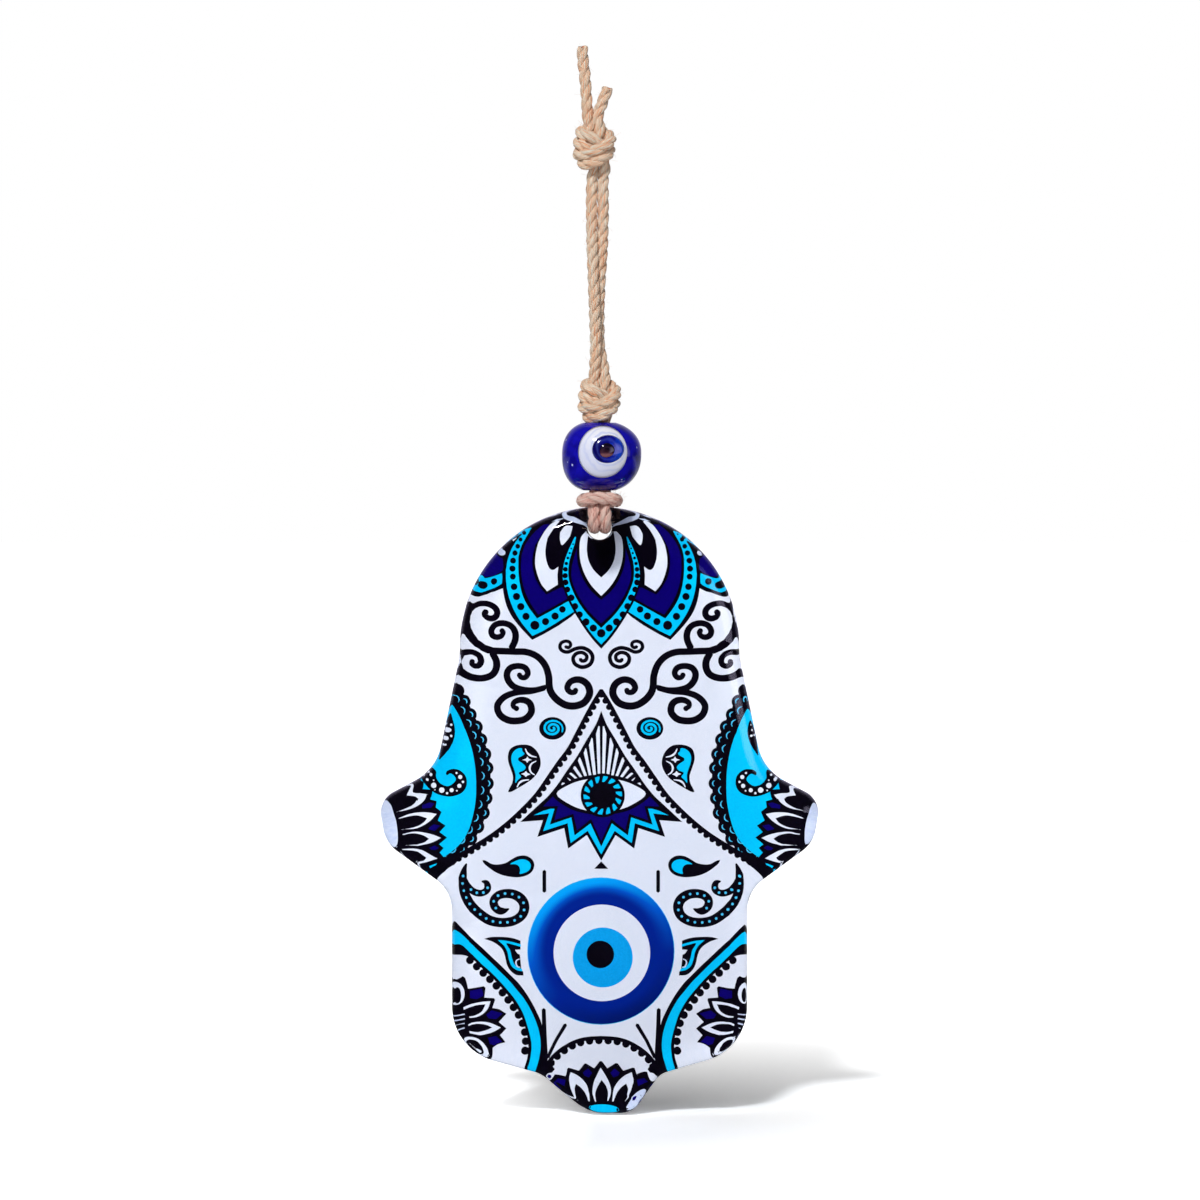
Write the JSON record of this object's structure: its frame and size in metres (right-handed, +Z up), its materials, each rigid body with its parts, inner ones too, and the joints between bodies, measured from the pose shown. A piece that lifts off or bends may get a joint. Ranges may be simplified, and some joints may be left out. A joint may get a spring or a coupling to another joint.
{
  "type": "hanging hamsa hand ornament",
  "caption": "Clear glass hamsa hand with a blue ornamental print on its back, hung from a knotted twine loop with a blue glass eye bead.",
  "frame": {"origin": "nail point between the two strands of twine, just under the top knot", "axes": "+Z up along the hanging line, -Y out of the printed front, +X to the right seen from the front"},
  "size_m": [0.101, 0.0164, 0.2455],
  "materials": {
    "clear_glass": "fire-polished clear soda glass",
    "printed_film": "printed film bonded to the glass, pale ground with cyan, navy and black inks",
    "cobalt_glass": "glossy lamp-worked cobalt glass",
    "white_glass": "glossy opaque white glass",
    "blue_glass": "glossy opaque blue glass",
    "black_glass": "glossy opaque black glass",
    "twine": "natural jute twine, three plies, hairy"
  },
  "bodies": {
    "hanging_knot": {"top_knot": "twine", "tail_left": "twine", "tail_right": "twine"},
    "cord": {"strand_left": "twine", "strand_right": "twine", "bead_knot": "twine", "bead_run_left": "twine", "bead_run_right": "twine"},
    "bead": {"bead_body": "cobalt_glass", "bead_eye_white": "white_glass", "bead_eye_iris": "blue_glass", "bead_eye_pupil": "black_glass"},
    "hand": {"glass_hand": "clear_glass", "print_film": "printed_film", "hitch_bight": "twine", "hitch_leg_left": "twine", "hitch_leg_right": "twine"}
  },
  "joints": [
    {"name": "cord_sway", "type": "hinge", "parent": "hanging_knot", "child": "cord", "pos_m": [0, 0, 0], "axis": [0, 1, 0], "range_deg": [-25, 25]},
    {"name": "bead_turn", "type": "hinge", "parent": "cord", "child": "bead", "pos_m": [0, 0, -0.0656], "axis": [0, 0, 1], "continuous": true},
    {"name": "hand_tilt", "type": "hinge", "parent": "cord", "child": "hand", "pos_m": [0, 0, -0.0709], "axis": [1, 0, 0], "range_deg": [-15, 15]}
  ]
}
